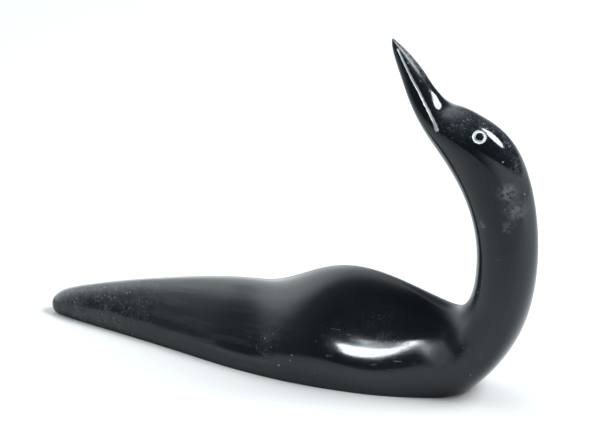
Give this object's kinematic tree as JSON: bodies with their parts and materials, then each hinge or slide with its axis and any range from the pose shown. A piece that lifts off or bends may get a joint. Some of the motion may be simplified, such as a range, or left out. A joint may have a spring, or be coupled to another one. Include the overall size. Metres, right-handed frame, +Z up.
{
  "type": "carved soapstone loon",
  "caption": "Polished black stone loon with a long low body on a flat sole, a rising neck and a raised beak thrown back over its back; a small ornament that stands by itself.",
  "frame": {"origin": "on the table, under the middle of the carving's box", "axes": "+X the way the breast faces, from the tail; +Z up; the middle plane of the bird is Y = 0"},
  "size_m": [0.2392, 0.0526, 0.1607],
  "materials": {
    "black_soapstone": "hand-rubbed to a high polish, with cut lines left pale and matt"
  },
  "bodies": {
    "root": {"loon_carving": "black_soapstone"}
  },
  "joints": []
}
